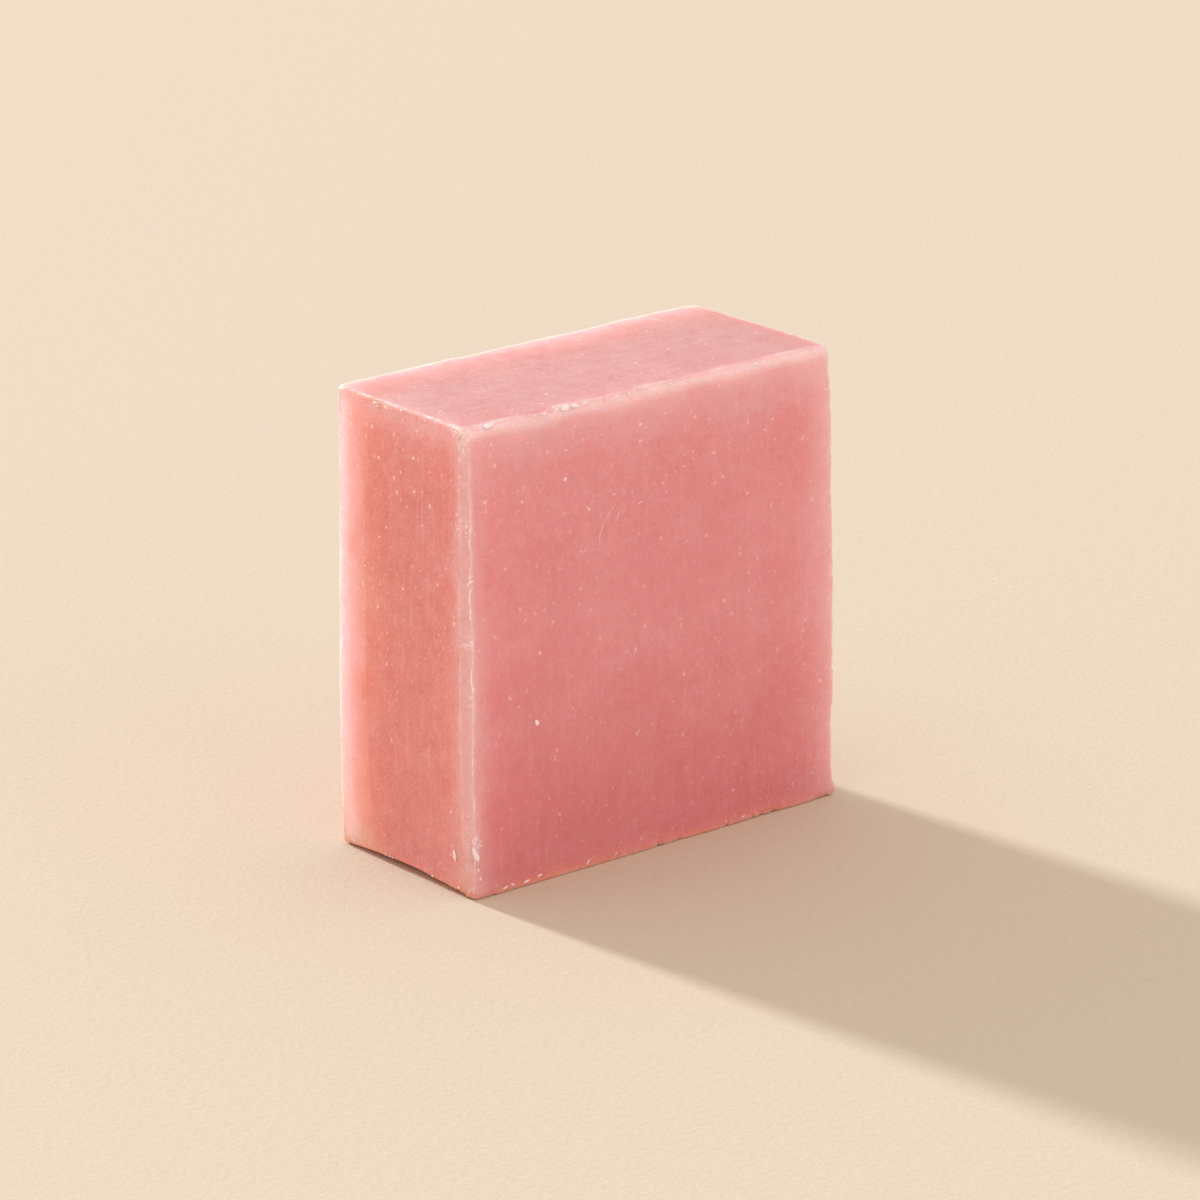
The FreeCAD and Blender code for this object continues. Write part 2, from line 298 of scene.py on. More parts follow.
# Distant soft lamps: azimuth and elevation as the view's, degrees across, strength and colour. The
# key comes low from behind the bar, and the fill softly from the front.
LAMPS = {
    "key": (185.6, 20.0, 5.0, 3.6, (0.95, 1.0, 1.07)),
    "fill": (15.0, 12.0, 60.0, 0.55, (1.0, 1.0, 1.0)),
}
WORLD_COLOUR = (1.03, 0.95, 0.90, 1)
WORLD_STRENGTH = 0.86

FLOOR_DROP = 0.00003  # keeps the floor from lying in the plane of the base
FLOOR_SIZE = 6  # metres
FLOOR_COLOURS = ((0.645, 0.547, 0.418, 1), (0.675, 0.573, 0.442, 1))  # in its pits and on its tooth


# ================================================================ the bar
def lattice(low, high):
    """A closed box of even quads, as a bmesh."""
    counts = [max(2, round(size / (CELL_MM * MM))) for size in high - low]
    made = bmesh.new()
    corners = {}

    def corner(key):
        if key not in corners:
            shares = [index / count for index, count in zip(key, counts)]
            place = [a + share * (b - a) for a, b, share in zip(low, high, shares)]
            corners[key] = made.verts.new(place)
        return corners[key]

    for axis, high_side in SIDES.values():
        first, second = [(1, 2), (2, 0), (0, 1)][axis]
        for i in range(counts[first]):
            for j in range(counts[second]):
                keys = []
                for di, dj in ((0, 0), (1, 0), (1, 1), (0, 1)):
                    key = [0, 0, 0]
                    key[axis] = counts[axis] * high_side
                    key[first], key[second] = i + di, j + dj
                    keys.append(tuple(key))
                made.faces.new([corner(key) for key in (keys if high_side else keys[::-1])])
    return made


def axis_along(one, two):
    """The axis that runs along the arris between two sides."""
    (along,) = [axis for axis in range(3) if axis not in (SIDES[one][0], SIDES[two][0])]
    return along


def arris_distance(place, low, high):
    """How far a point on the box lies from the nearest arris."""
    gaps = sorted(min(p - a, b - p) for p, a, b in zip(place, low, high))
    return gaps[1]


def refine(mesh, low, high):
    """Halves the cells near the arrises, and again nearer still."""
    for reach in REACHES_MM:
        edges = list({
            edge
            for face in mesh.faces
            if arris_distance(face.calc_center_median(), low, high) < reach * MM
            for edge in face.edges
        })
        bmesh.ops.subdivide_edges(mesh, edges=edges, cuts=1, use_grid_fill=True)


def cast(places, low, high, tree):
    """The lattice's points cast outwards onto the CAD solid, their ways and the solid's normals."""
    inset = CORE_MM * MM
    starts = np.clip(places, np.array(low) + inset, np.array(high) - inset)
    ways = places - starts
    ways /= np.linalg.norm(ways, axis=1)[:, None]
    hits = [tree.ray_cast(Vector(start), Vector(way)) for start, way in zip(starts, ways)]
    points = np.array([tuple(hit[0]) for hit in hits])
    normals = np.array([tuple(hit[1]) for hit in hits])
    normals *= np.sign((normals * ways).sum(1))[:, None]
    return points, ways, normals


def smooth(values, edges, weights, passes):
    """Evens out the points or other values along the edges, each by its own weight."""
    count = np.bincount(edges.ravel(), minlength=len(values))[:, None]
    for _ in range(passes):
        total = np.zeros_like(values)
        for axis in range(3):
            total[:, axis] = np.bincount(edges[:, 0], values[edges[:, 1], axis], len(values))
            total[:, axis] += np.bincount(edges[:, 1], values[edges[:, 0], axis], len(values))
        values = values + weights[:, None] * (total / count - values)
    return values


def field(points_mm, length_mm, offset, octaves=3):
    """One of the numbered fields of noise, about -1 to 1, with features of a given length."""
    shift = Vector([offset * step for step in FIELD_STEP])
    values = [noise.fractal(Vector(p) / length_mm + shift, 1.0, 2.0, octaves) for p in points_mm]
    return np.array(values)


def ease(values, start, end):
    """0 at start, 1 at end, and smooth in between."""
    share = np.clip((values - start) / (end - start), 0, 1)
    return share * share * (3 - 2 * share)


def side_depths(places_mm, low_mm, high_mm):
    """How deep each point lies under each of the six sides of the box."""
    depths = {}
    for side, (axis, high_side) in SIDES.items():
        gap = high_mm[axis] - places_mm[:, axis] if high_side else places_mm[:, axis] - low_mm[axis]
        depths[side] = gap
    return depths


def side_shares(ways):
    """How much of each point belongs to each of the six sides, which blend round an arris."""
    shares = {}
    for side, (axis, high_side) in SIDES.items():
        towards = ways[:, axis] if high_side else -ways[:, axis]
        shares[side] = np.clip(towards, 0, 1) ** 3
    total = sum(shares.values())
    return {side: share / total for side, share in shares.items()}


def arris_reach(depths, one, two):
    """How far each point lies from one arris: from whichever of its two sides is the further."""
    return np.maximum(depths[one], depths[two])


def softness(depths):
    """How much each point gives way when the arrises are rounded off, from 0 to 1."""
    soft = np.zeros(len(depths["base"]))
    for (one, two), worn in ARRISES.items():
        soft = np.maximum(soft, worn.soft * (1 - ease(arris_reach(depths, one, two), *SOFT_MM)))
    return soft


def mean_along(values, spots, picked, grid):
    """The mean of the picked values round each place of a grid along an arris."""
    weights = np.exp(-(((spots[picked][None, :] - grid[:, None]) / MEAN_MM) ** 2)) + 1e-9
    return (weights * values[picked][None, :]).sum(1) / weights.sum(1)


def borders(points_mm, places_mm, low_mm, high_mm, turned):
    """How far each point lies past the nearest break's two borders, and how clear its lines are."""
    depths = side_depths(places_mm, low_mm, high_mm)
    actual = side_depths(points_mm, low_mm, high_mm)
    past = np.zeros((len(points_mm), 3)) + np.array([FAR_MM, -FAR_MM, 0.0])
    clear = np.zeros((len(points_mm), 3))
    nearest = np.full(len(points_mm), BORDER_MM)
    for (one, two), worn in ARRISES.items():
        away = arris_reach(depths, one, two)
        along = axis_along(one, two)
        spots = points_mm[:, along]
        grid = np.arange(low_mm[along], high_mm[along] + 1.0)
        broken = (away < BREAK_MM) & (turned > BREAK_TURN)
        across = actual[one] - actual[two]
        across = across - np.interp(spots, grid, mean_along(across, spots, broken, grid))
        # points spread evenly over a strip have a mean square of a third of its half width's
        half = np.sqrt(3 * mean_along(across**2, spots, broken, grid))
        ends = np.minimum(grid - low_mm[along], high_mm[along] - grid)
        narrower = END_WIDTH + (1 - END_WIDTH) * ease(ends, 0, END_MM)
        half = np.interp(spots, grid, half * narrower)
        own = away < nearest
        nearest[own] = away[own]
        wobble = np.minimum(half, WOBBLE_MOST_MM)
        first = wobble * WOBBLE * field(points_mm, WOBBLE_MM, offset=7)
        second = wobble * WOBBLE * field(points_mm, WOBBLE_MM, offset=8)
        past[own, 0] = (across + half + first)[own]
        past[own, 1] = (across - half + second)[own]
        clear[own] = (1 - ease(away, *LINE_END_MM))[own, None] * np.array(worn.lines)
    return past, clear


def wear(points_mm, depths, turned, past, clear):
    """How far each point is pushed out, in millimetres, and how pale it has dried."""
    push = np.zeros(len(points_mm))
    pale = np.zeros(len(points_mm))
    sway = field(points_mm, length_mm=7.0, offset=5, octaves=2)
    broad = field(points_mm, length_mm=5.0, offset=3, octaves=2)
    torn = field(points_mm, length_mm=1.7, offset=1)
    fine = field(points_mm, length_mm=0.55, offset=2, octaves=2)
    dashes = field(points_mm, length_mm=1.1, offset=4, octaves=2)
    torn_off = ease(dashes + 0.5 * fine, *BURR_NOISE)
    on_border = (clear[:, :2] * np.exp(-((past[:, :2] / BURR_MM) ** 2))).max(1) * torn_off
    for (one, two), worn in ARRISES.items():
        away = arris_reach(depths, one, two)
        near = 1 - ease(away, 0.25 * worn.reach, 1.1 * worn.reach)
        close = 1 - ease(away, *CLOSE_MM)
        chips = ease(broad + 0.35 * torn, *CHIP_NOISE)
        nicks = ease(torn + 0.45 * fine, *NICK_NOISE)
        push -= near * (worn.chip * chips + worn.nick * nicks - ROUGH_MM * fine)
        swayed = 0.8 * sway + 0.5 * broad + 0.25 * torn
        push += (1 - ease(away, *SWAY_END_MM)) * worn.sway * swayed
        push += worn.fill * ease(turned, *FILL_TURN) * close
        if (one, two) in WAVES:
            spots = points_mm[:, axis_along(one, two)]
            spots = (spots - spots.min()) / (spots.max() - spots.min())
            wave = np.interp(spots, *zip(*WAVES[one, two]))
            push += wave * (1 - ease(away, *WAVE_END_MM))
        push += worn.burr * close * on_border
        dry = np.exp(-away / (0.6 * worn.reach)) * (0.80 + 0.6 * torn)
        pale = np.maximum(pale, worn.pale * np.clip(dry, 0, 1))
    return push, np.clip(pale, 0, 1)


def grain_and_painted_light(points_mm, depths, shares):
    """Each point's tint, which paints the light and shade on its side, how strong its grain is, and
    the colour painted towards the arrises, mostly painted glow and shade, and how much.
    """
    count = len(depths["base"])
    patchy = 1 + RIM_PATCHES * field(points_mm, length_mm=9.0, offset=6, octaves=2)
    tint = np.ones((count, 4))
    tint[:, :3] = 0
    grit = np.zeros(count)
    rim = np.zeros((count, 4))
    left = np.ones(count)
    foot = np.clip(1 - depths["base"] / FOOT_MM, 0, 1)
    lowest = foot[:, None] ** 3 * np.array(FOOT_WARMER)
    for side, share in shares.items():
        look = SIDE_GRAIN_AND_PAINTED_LIGHT[side]
        # deeper towards the floor: painted shade
        painted_foot_shade = 1 - look["foot"] * foot[:, None] * np.array(FOOT_PAINTED_SHADE)
        tint[:, :3] += share[:, None] * painted_foot_shade * np.array(look["tint"])
        grit += share * look["grit"]
        # the rims: mostly painted glow and shade, warmer towards the foot where a side asks for it
        for other, colour, amount, reach in look["rims"]:
            part = left * share * amount * np.exp(-((depths[other] / (reach * patchy)) ** 2))
            rim[:, :3] += part[:, None] * np.array(colour) * (1 - look["warm"] * lowest)
            left -= part
    rim[:, 3] = 1 - left
    grit *= 1 - 0.5 * rim[:, 3]
    rim[:, :3] /= np.maximum(rim[:, 3:], 1e-6)
    return tint, grit, rim


def stroke_places(points_mm, ways):
    """Where each point lies across and along the knife strokes that cut its side."""
    x, y, z = points_mm.T
    axis = np.abs(ways).argmax(1)
    along = np.where(axis == 2, x, z)
    across = np.where(axis == 1, x, y)
    return np.stack([across, along, axis * STROKE_APART_MM], axis=1)


def clearness(depths, gaps):
    """How clear the soap is at each point, from 0 to 1."""
    clear = np.ones(len(gaps))
    for away, reach, least in zip((gaps, depths["base"]), CLEAR_MM, CLEAR_EDGE):
        clear *= least + (1 - least) * ease(away, 0, reach)
    for one, two in LIT_ARRISES:
        clear *= LIT_CLEAR + (1 - LIT_CLEAR) * ease(arris_reach(depths, one, two), *LIT_MM)
    return clear


def bits_near(points, low, high):
    """How thickly dry white bits cling at each point, from 0 to 1."""
    bits = np.zeros(len(points))
    for side, spot, reach in BITS:
        place = np.array(side_place(side, spot, low, high)[0])
        away = np.linalg.norm(points - place, axis=1) / MM
        bits = np.maximum(bits, 1 - ease(away, 0.4 * reach, reach))
    return bits


def add_attributes(mesh, kind, field_name, values_by_name):
    """Gives the mesh's points named values, which its material reads."""
    for name, values in values_by_name.items():
        made = mesh.attributes.new(name, kind, "POINT")
        made.data.foreach_set(field_name, values.ravel())


def lattice_mesh(low, high):
    """The lattice as a mesh of quads and triangles, with its points and edges as arrays."""
    made = lattice(low, high)
    refine(made, low, high)
    bmesh.ops.triangulate(made, faces=[f for f in made.faces if len(f.verts) > 4])
    mesh = bpy.data.meshes.new("soap_bar_cut")
    made.to_mesh(mesh)
    made.free()
    places = np.zeros(len(mesh.vertices) * 3, np.float32)
    mesh.vertices.foreach_get("co", places)
    edges = np.zeros(len(mesh.edges) * 2, np.int32)
    mesh.edges.foreach_get("vertices", edges)
    return mesh, places.reshape(-1, 3).astype(float), edges.reshape(-1, 2)


def soap_mesh(cad_object, low, high):
    """The whole bar as one closed mesh, with its wear, knife strokes and colours as attributes: the
    colours partly dried, and much of them painted light and shade.
    """
    tree = BVHTree.FromObject(cad_object, bpy.context.evaluated_depsgraph_get())
    mesh, places, edges = lattice_mesh(low, high)

    points, ways, normals = cast(places, low, high, tree)
    low_mm, high_mm = np.array(low) / MM, np.array(high) / MM
    depths = side_depths(places / MM, low_mm, high_mm)
    shares = side_shares(ways)
    gaps = np.sort(np.stack(list(depths.values()), axis=1), axis=1)[:, 1]
    weights = SMOOTH_SHARE * ease(gaps, SMOOTH_FROM_MM, SMOOTH_FROM_MM + 1.0)
    on_base = np.isclose(points[:, 2], low.z, atol=1e-6)
    points = smooth(points, edges, weights, SMOOTH_PASSES)
    points = smooth(points, edges, SMOOTH_SHARE * softness(depths), SOFT_PASSES)
    points[on_base, 2] = low.z

    normals = smooth(normals, edges, np.full(len(normals), SMOOTH_SHARE), NORMAL_PASSES)
    turned = np.sort(np.abs(normals), axis=1)[:, 1]
    past, lines = borders(points / MM, places / MM, low_mm, high_mm, turned)
    push, pale = wear(points / MM, depths, turned, past, lines)
    points = points + ways * (push * MM)[:, None]
    points = np.clip(points, np.array(low), np.array(high))
    mesh.vertices.foreach_set("co", points.ravel())

    tint, grit, rim = grain_and_painted_light(points / MM, depths, shares)
    clear = clearness(depths, gaps)
    sheen = SHEEN_LEAST + (1 - SHEEN_LEAST) * ease(depths["back"], *SHEEN_MM)
    bits = bits_near(points, low, high)
    strokes = stroke_places(points / MM, ways)
    amounts = {"pale": pale, "grit": grit, "clear": clear, "sheen": sheen, "bits": bits}
    vectors = {"stroke": strokes, "past": past, "lines": lines}
    add_attributes(mesh, "FLOAT", "value", amounts)
    add_attributes(mesh, "FLOAT_COLOR", "color", {"tint": tint, "rim": rim})
    add_attributes(mesh, "FLOAT_VECTOR", "vector", vectors)
    mesh.shade_smooth()
    mesh.update()
    return mesh


# ================================================================ the crumbs
def side_place(side, shares, low, high):
    """A point of the box at two shares of one of its sides, and the way out of that side."""
    axis, high_side = SIDES[side]
    others = [a for a in range(3) if a != axis]
    place = Vector((0, 0, 0))
    place[axis] = (high if high_side else low)[axis]
    for other, share in zip(others, shares):
        place[other] = low[other] + share * (high[other] - low[other])
    way = Vector((0, 0, 0))
    way[axis] = 1 if high_side else -1
    return place, way


def add_lump(made, place, way, sizes_mm, turn, seed, detail):
    """A rough grain or flake that lies on the bar, half sunk into it."""
    grain = bmesh.ops.create_icosphere(made, subdivisions=detail, radius=1.0)["verts"]
    lie = way.to_track_quat("Z", "Y" if abs(way.z) < 0.9 else "X").to_matrix()
    lie = lie @ Matrix.Rotation(math.radians(turn), 3, "Z")
    half = Vector(sizes_mm) / 2 * MM
    (broad, broad_scale), (fine, fine_scale) = LUMP_ROUGH
    for vert in grain:
        rough = 1 + broad * noise.noise(vert.co * broad_scale + Vector((seed, 0, 0)))
        rough += fine * noise.noise(vert.co * fine_scale + Vector((0, seed, 0)))
        local = Vector([c * h * rough for c, h in zip(vert.co, half)])
        vert.co = place + lie @ local
    return grain


def keep_inside(verts, low, high):
    """Shifts a few points together until they lie inside the box."""
    for axis in range(3):
        over = max(0, max(vert.co[axis] for vert in verts) - high[axis])
        under = max(0, low[axis] - min(vert.co[axis] for vert in verts))
        for vert in verts:
            vert.co[axis] += under - over


def surface(tree, place):
    """The nearest point of the bar, and its way out."""
    spot, way, _, _ = tree.find_nearest(place)
    return spot, way


def add_fibre(made, tree, side, radius_mm, route, low, high):
    """A thin curved fibre or shaving pressed into a side."""
    rings = []
    last = None
    steps = FIBRE_STEPS * (len(route) - 1)
    for step in range(steps + 1):
        at = step / steps * (len(route) - 1)
        index = min(int(at), len(route) - 2)
        u, v = [a + (at - index) * (b - a) for a, b in zip(route[index], route[index + 1])]
        spot, way = surface(tree, side_place(side, (u, v), low, high)[0])
        if rings and (spot - last).length < 0.5 * radius_mm * MM:
            continue  # a bump of the bar holds several steps at one spot
        last = spot
        radius = radius_mm * MM * (FIBRE_TIP + (1 - FIBRE_TIP) * math.sin(math.pi * step / steps))
        ring = []
        for corner in range(FIBRE_CORNERS):
            angle = math.tau * corner / FIBRE_CORNERS
            offset = way.orthogonal().normalized() * math.cos(angle) + way * math.sin(angle)
            ring.append(made.verts.new(spot + offset * radius))
        rings.append(ring)
    for one, two in zip(rings, rings[1:]):
        for corner in range(FIBRE_CORNERS):
            after = (corner + 1) % FIBRE_CORNERS
            made.faces.new((one[corner], one[after], two[after], two[corner]))
    made.faces.new(rings[0][::-1])
    made.faces.new(rings[-1])
    keep_inside([vert for ring in rings for vert in ring], low, high)


def scatter(made, tree, low, high):
    """Loose crumbs strewn along the arrises."""
    chance = random.Random(SEED)
    for (one, two), (often, largest) in SCATTER.items():
        along = axis_along(one, two)
        length = (high[along] - low[along]) / MM
        for _ in range(round(often * length / 10)):
            side, beside = chance.choice(((one, two), (two, one)))
            axis, high_side = SIDES[beside]
            place, _ = side_place(side, (0.5, 0.5), low, high)
            place[along] = low[along] + chance.uniform(0.02, 0.98) * length * MM
            inward = abs(chance.gauss(0.0, SCATTER_INWARD_MM)) * MM
            place[axis] = high[axis] - inward if high_side else low[axis] + inward
            spot, way = surface(tree, place)
            if spot.z < low.z + SCATTER_LEAST_MM * MM:
                continue
            size = largest * chance.uniform(0.4, 1.0) ** 1.5 * 2
            sizes = (size * chance.uniform(1.0, 1.9), size, size * 0.8)
            turn, seed = chance.uniform(0, 180), chance.uniform(0, 90)
            keep_inside(add_lump(made, spot, way, sizes, turn, seed, detail=1), low, high)


def crumbs_mesh(bar_mesh, low, high):
    """The crumbs, flakes and fibres that cling to the bar, as one mesh."""
    corners = [vert.co for vert in bar_mesh.vertices]
    tree = BVHTree.FromPolygons(corners, [tuple(face.vertices) for face in bar_mesh.polygons])
    made = bmesh.new()
    for number, (side, shares, sizes_mm, turn) in enumerate(CRUMBS):
        spot, way = surface(tree, side_place(side, shares, low, high)[0])
        lump = add_lump(made, spot, way, sizes_mm, turn, seed=number * 3.7, detail=3)
        keep_inside(lump, low, high)
    scatter(made, tree, low, high)
    for side, radius_mm, route in FIBRES:
        add_fibre(made, tree, side, radius_mm, route, low, high)
    mesh = bpy.data.meshes.new("soap_crumbs")
    made.to_mesh(mesh)
    made.free()
    mesh.shade_smooth()
    return mesh


# ================================================================ materials
SOAP_ROSE = (0.79, 0.31, 0.325, 1)
SOAP_DEEP = (0.772, 0.282, 0.298, 1)
SOAP_DRY = (0.89, 0.69, 0.73, 1)
# the white of the arrises' lines, which are partly dry bits and partly painted highlights
SOAP_LINE = (0.93, 0.84, 0.86, 1)
SPECK_CREAM = (0.95, 0.72, 0.68, 1)
CRUMB_PALE = (1.00, 0.83, 0.84, 1)
CRUMB_ROSE = (0.98, 0.66, 0.64, 1)
CRUMB_HEIGHTS_MM = (-45, 45)  # between these heights the crumbs turn from rose to pale

SOAP_IOR = 1.45
LIGHT_SPREAD_MM = 9  # how far red light spreads in clear soap
LIGHT_SPREAD = (1.0, 0.33, 0.22)  # and red, green and blue light, as shares of that
SOAP_BUMP = {"Strength": 0.42, "Distance": 0.14 * MM}
CRUMB_BUMP = {"Strength": 0.4, "Distance": 0.06 * MM}
FLOOR_BUMP = {"Strength": 0.30, "Distance": 0.3 * MM}

GRAIN = (0.14, 0.62, 0.72)  # how much the soap's fine grain lightens and darkens its colour
# The grains caught in the soap: how far apart and how large they are in millimetres, and how the
# slivers are stretched, and turned in radians.
DUST = {"spacing": 0.55, "radius": 0.13}
SMALL_GRAINS = {"spacing": 0.9, "radius": 0.17}
LARGE_GRAINS = {"spacing": 1.5, "radius": 0.29}
SLIVERS = {"spacing": 4.2, "radius": 0.62, "stretch": (2.6, 2.6, 0.9), "turn": (0.6, 0.5, 0.0)}
CROSSING = {"spacing": 4.8, "radius": 0.66, "stretch": (2.8, 2.8, 0.9), "turn": (-0.3, -0.7, 0.4)}
SPECK_EDGE = (-0.01, 0.05)  # how sharp a grain's outline is, as shares of the spacing
RAGGED_MM = 0.55  # how far the grains' outlines are pulled about
STROKE_SCALE = (1.7, 0.09, 1.0)  # how many streaks of the knife to a millimetre, across and along

LINE_JITTER_MM = 0.34  # how unevenly a white line follows its border
# From a border, where its white line, its painted glow and its matt edge start and end to fade.
LINE_MM = (0.06, 0.17)
GLOW_MM = (0.05, 0.65)
MATT_MM = (0.1, 0.8)
LINE_STRENGTHS = (0.55, 1.0)  # of a break's first and second line
BAND_STRENGTH = 0.12  # of the pale band between them
BITS_STRENGTH = 0.85


def add(tree, kind, inputs=None, **settings):
    """A shader node with its settings, and its inputs linked or set."""
    made = tree.nodes.new(kind)
    for name, value in settings.items():
        setattr(made, name, value)
    for name, value in (inputs or {}).items():
        connect(tree, made.inputs[name], value)
    return made


def connect(tree, socket, value):
    """Links an input to another node's output, or sets it."""
    if isinstance(value, bpy.types.NodeSocket):
        tree.links.new(value, socket)
    else:
        socket.default_value = value


def calculate(tree, operation, *values, clamp=False):
    """A Math node's result."""
    inputs = dict(enumerate(values))
    return add(tree, "ShaderNodeMath", inputs, operation=operation, use_clamp=clamp).outputs[0]


def on_vectors(tree, operation, inputs):
    """A Vector Math node's result, whose inputs go by number: 3 is the scale."""
    return add(tree, "ShaderNodeVectorMath", inputs, operation=operation).outputs[0]


def between(tree, value, start, end):
    """A value carried from start..end to 0..1, smoothly and clamped."""
    inputs = {"Value": value, "From Min": start, "From Max": end}
    made = add(tree, "ShaderNodeMapRange", inputs, interpolation_type="SMOOTHSTEP")
    return made.outputs["Result"]


def blend(tree, share, one, two, kind="MIX"):
    """One colour turned into another by a share."""
    colours = {0: share, 6: one, 7: two}  # a Mix node's inputs for colours
    made = add(tree, "ShaderNodeMix", colours, data_type="RGBA", blend_type=kind)
    return made.outputs[2]


def texture(tree, places, scale, detail=2.0, roughness=0.5, output="Fac"):
    """Noise, 0 to 1."""
    inputs = {"Vector": places, "Scale": scale, "Detail": detail, "Roughness": roughness}
    return add(tree, "ShaderNodeTexNoise", inputs).outputs[output]


def bumps(tree, height, settings):
    """A surface's normals, roughened by a height."""
    return add(tree, "ShaderNodeBump", {"Height": height, **settings}).outputs[0]


def attribute(tree, name, output="Fac"):
    """One of the mesh's own values."""
    return add(tree, "ShaderNodeAttribute", attribute_name=name).outputs[output]


def specks(tree, places, spacing, radius, stretch=(1, 1, 1), turn=(0, 0, 0)):
    """Grains caught in the soap, as the knife slices them: up to 1 in a grain and 0 outside."""
    scale = [s / spacing for s in stretch]
    turned = add(tree, "ShaderNodeMapping", {"Vector": places, "Rotation": turn}).outputs[0]
    moved = add(tree, "ShaderNodeMapping", {"Vector": turned, "Scale": scale}).outputs[0]
    cells = add(tree, "ShaderNodeTexVoronoi", {"Vector": moved, "Scale": 1.0})
    chances = add(tree, "ShaderNodeSeparateColor", {"Color": cells.outputs["Color"]})
    edge = calculate(tree, "MULTIPLY", chances.outputs[0], radius / spacing)
    inside = calculate(tree, "SUBTRACT", edge, cells.outputs["Distance"])
    sharp = between(tree, inside, *SPECK_EDGE)
    strength = calculate(tree, "POWER", chances.outputs[1], 2.2)
    return calculate(tree, "MULTIPLY", sharp, calculate(tree, "MULTIPLY_ADD", strength, 0.85, 0.15))


def caught_grains(tree, in_mm, grit):
    """All the grains caught in the soap, from 0 to 1, with ragged outlines."""
    ragged = texture(tree, in_mm, scale=2.6, detail=3.0, roughness=0.6, output="Color")
    ragged = on_vectors(tree, "SUBTRACT", {0: ragged, 1: (0.5, 0.5, 0.5)})
    ragged = on_vectors(tree, "SCALE", {0: ragged, 3: RAGGED_MM})
    ragged = on_vectors(tree, "ADD", {0: in_mm, 1: ragged})
    clear_dust = calculate(tree, "MULTIPLY_ADD", grit, 0.22, 0.26)
    dust = calculate(tree, "MULTIPLY", specks(tree, ragged, **DUST), clear_dust)
    grains = calculate(tree, "MULTIPLY", specks(tree, ragged, **SMALL_GRAINS), 0.7)
    grains = calculate(tree, "MAXIMUM", grains, dust)
    for kind in (LARGE_GRAINS, SLIVERS, CROSSING):
        grains = calculate(tree, "MAXIMUM", grains, specks(tree, ragged, **kind))
    return grains


def dry_lines_and_highlights(tree, in_mm):
    """The white lines along the arrises' borders, partly dry white bits and partly painted
    highlights and glow, from 0 to 1, and how matt the arrises are.
    """
    jitter = calculate(tree, "SUBTRACT", texture(tree, in_mm, scale=1.5, detail=3.0), 0.5)
    dashes = between(tree, texture(tree, in_mm, scale=0.95, detail=4.0, roughness=0.62), 0.48, 0.54)
    fade = between(tree, texture(tree, in_mm, scale=0.16, detail=1.0), 0.34, 0.60)
    dashes = calculate(tree, "MULTIPLY", dashes, calculate(tree, "MULTIPLY_ADD", fade, 0.70, 0.30))
    past, clear = [
        add(tree, "ShaderNodeSeparateXYZ", {"Vector": attribute(tree, name, "Vector")}).outputs
        for name in ("past", "lines")
    ]

    inner = between(tree, past[0], -0.10, 0.30)
    outer = calculate(tree, "SUBTRACT", 1.0, between(tree, past[1], -0.30, 0.10))
    band = calculate(tree, "MULTIPLY", calculate(tree, "MULTIPLY", inner, outer), BAND_STRENGTH)
    line = calculate(tree, "MULTIPLY", band, clear[2])
    offs = []
    for border, strength in enumerate(LINE_STRENGTHS):
        off = calculate(tree, "MULTIPLY_ADD", jitter, LINE_JITTER_MM, past[border])
        off = calculate(tree, "ABSOLUTE", off)
        # the thin white line: dry bits, and painted highlights where burrs and the break catch the
        # light
        thin = calculate(tree, "SUBTRACT", 1.0, between(tree, off, *LINE_MM))
        thin = calculate(tree, "MULTIPLY", thin, calculate(tree, "MULTIPLY", dashes, strength))
        thin = calculate(tree, "MULTIPLY", thin, clear[border])
        # a soft painted glow beside the line
        glow = calculate(tree, "SUBTRACT", 1.0, between(tree, off, *GLOW_MM))
        glow = calculate(tree, "MULTIPLY", glow, calculate(tree, "SQRT", clear[border]))
        glow = calculate(tree, "MULTIPLY", glow, clear[2])
        glow = calculate(tree, "MULTIPLY", glow, calculate(tree, "MULTIPLY_ADD", fade, 0.10, 0.15))
        line = calculate(tree, "MAXIMUM", line, calculate(tree, "MAXIMUM", thin, glow))
        offs.append(off)
    edge = between(tree, calculate(tree, "MINIMUM", *offs), *MATT_MM)
    edge = calculate(tree, "SUBTRACT", 1.0, edge)
    matt = calculate(tree, "MULTIPLY", edge, calculate(tree, "MULTIPLY_ADD", dashes, -0.42, 0.45))
    return line, matt


def new_material(name):
    """A material, its node tree, its shader, and the places on the object in metres."""
    material = bpy.data.materials.new(name)
    material.use_nodes = True
    tree = material.node_tree
    places = add(tree, "ShaderNodeTexCoord").outputs["Object"]
    return material, tree, tree.nodes["Principled BSDF"].inputs, places


